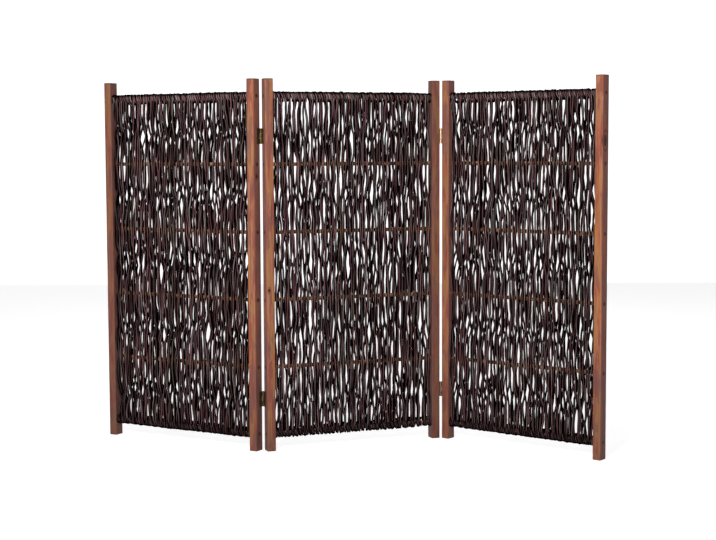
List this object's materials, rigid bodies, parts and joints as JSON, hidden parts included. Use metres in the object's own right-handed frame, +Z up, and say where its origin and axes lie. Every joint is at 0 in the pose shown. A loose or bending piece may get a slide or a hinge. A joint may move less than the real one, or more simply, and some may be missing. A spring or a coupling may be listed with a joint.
{
  "type": "garden privacy screen",
  "caption": "Folding garden screen: hinged panels of planed posts and round cross rods, filled with upright willow wands bent over the end rods and woven between the others.",
  "frame": {"origin": "on the ground under the middle of the screen as it stands in a Z", "axes": "+Z up; +X along the width, to the right of someone who faces the front; +Y from front to back"},
  "size_m": [1.6308, 0.5026, 1.2],
  "materials": {
    "post_wood": "softwood stained red-brown, grain and knots showing, matt",
    "rod_wood": "round wood stained dark red-brown, matt",
    "willow": "unpeeled willow bark, dark purple-brown with grey bloom, slight sheen",
    "hinge_steel": "zinc-plated steel sheet, dulled and partly stained over",
    "screw_steel": "blackened steel"
  },
  "bodies": {
    "centre_panel": {"centre_left_post": "post_wood", "centre_right_post": "post_wood", "centre_bottom_rod": "rod_wood", "centre_rod_2": "rod_wood", "centre_rod_3": "rod_wood", "centre_rod_4": "rod_wood", "centre_rod_5": "rod_wood", "centre_top_rod": "rod_wood", "centre_wands_over_top": "willow", "centre_wands_under_bottom": "willow", "centre_rod_screws": "screw_steel", "left_upper_hinge_centre_leaf": "hinge_steel", "left_lower_hinge_centre_leaf": "hinge_steel", "right_upper_hinge_centre_leaf": "hinge_steel", "right_lower_hinge_centre_leaf": "hinge_steel", "centre_hinge_screws": "screw_steel"},
    "left_panel": {"left_outer_post": "post_wood", "left_hinge_post": "post_wood", "left_bottom_rod": "rod_wood", "left_rod_2": "rod_wood", "left_rod_3": "rod_wood", "left_rod_4": "rod_wood", "left_rod_5": "rod_wood", "left_top_rod": "rod_wood", "left_wands_over_top": "willow", "left_wands_under_bottom": "willow", "left_rod_screws": "screw_steel", "left_upper_hinge_outer_leaf": "hinge_steel", "left_upper_hinge_pin": "hinge_steel", "left_lower_hinge_outer_leaf": "hinge_steel", "left_lower_hinge_pin": "hinge_steel", "left_hinge_screws": "screw_steel"},
    "right_panel": {"right_hinge_post": "post_wood", "right_outer_post": "post_wood", "right_bottom_rod": "rod_wood", "right_rod_2": "rod_wood", "right_rod_3": "rod_wood", "right_rod_4": "rod_wood", "right_rod_5": "rod_wood", "right_top_rod": "rod_wood", "right_wands_over_top": "willow", "right_wands_under_bottom": "willow", "right_rod_screws": "screw_steel", "right_upper_hinge_outer_leaf": "hinge_steel", "right_upper_hinge_pin": "hinge_steel", "right_lower_hinge_outer_leaf": "hinge_steel", "right_lower_hinge_pin": "hinge_steel", "right_hinge_screws": "screw_steel"}
  },
  "joints": [
    {"name": "left_fold", "type": "hinge", "parent": "centre_panel", "child": "left_panel", "pos_m": [-0.26956, -0.05781, 0], "axis": [0, 0, 1], "range_deg": [-128, 60]},
    {"name": "right_fold", "type": "hinge", "parent": "centre_panel", "child": "right_panel", "pos_m": [0.31703, 0.13241, 0], "axis": [0, 0, 1], "range_deg": [-119.5, 68.5]}
  ]
}
